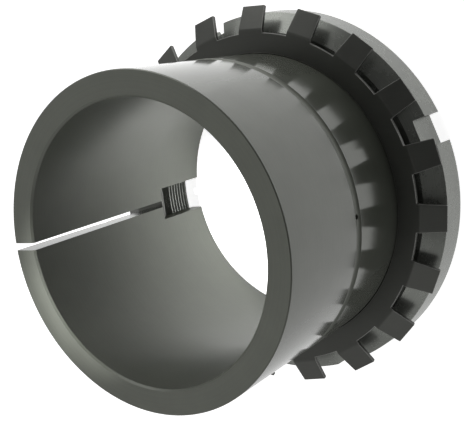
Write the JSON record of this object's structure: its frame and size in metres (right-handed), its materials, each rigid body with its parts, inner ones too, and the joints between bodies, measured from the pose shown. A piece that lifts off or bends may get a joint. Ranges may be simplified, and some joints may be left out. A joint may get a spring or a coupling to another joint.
{
  "type": "bearing adapter sleeve",
  "caption": "Slit taper sleeve that clamps a taper-bore bearing on a plain shaft, with an oil groove, a keyed toothed lock washer and a slotted lock nut.",
  "frame": {"origin": "centre of the bore at the thread end face of the sleeve, on which the part stands", "axes": "+Z along the bore towards the plain end, +Y through the keyway and the slit"},
  "size_m": [0.2503, 0.2502, 0.169],
  "materials": {
    "sleeve_steel": "blackened, satin, fine turned",
    "washer_steel": "blackened sheet, satin",
    "nut_steel": "blackened, satin, turned"
  },
  "bodies": {
    "sleeve": {"tapered_sleeve": "sleeve_steel"},
    "washer": {"lock_washer": "washer_steel"},
    "nut": {"lock_nut": "nut_steel"}
  },
  "joints": [
    {"name": "nut_turn", "type": "hinge", "parent": "washer", "child": "nut", "pos_m": [0, 0, 0.015], "axis": [0, 0, 1], "range_deg": [-180, 350]},
    {"name": "washer_slide", "type": "slide", "parent": "sleeve", "child": "washer", "axis": [0, 0, 1], "range_m": [-0.00151, 0.00295]}
  ],
  "couplings": [
    {"joint": "washer_slide", "follows": "nut_turn", "m_per_rad": 0.00047746}
  ]
}
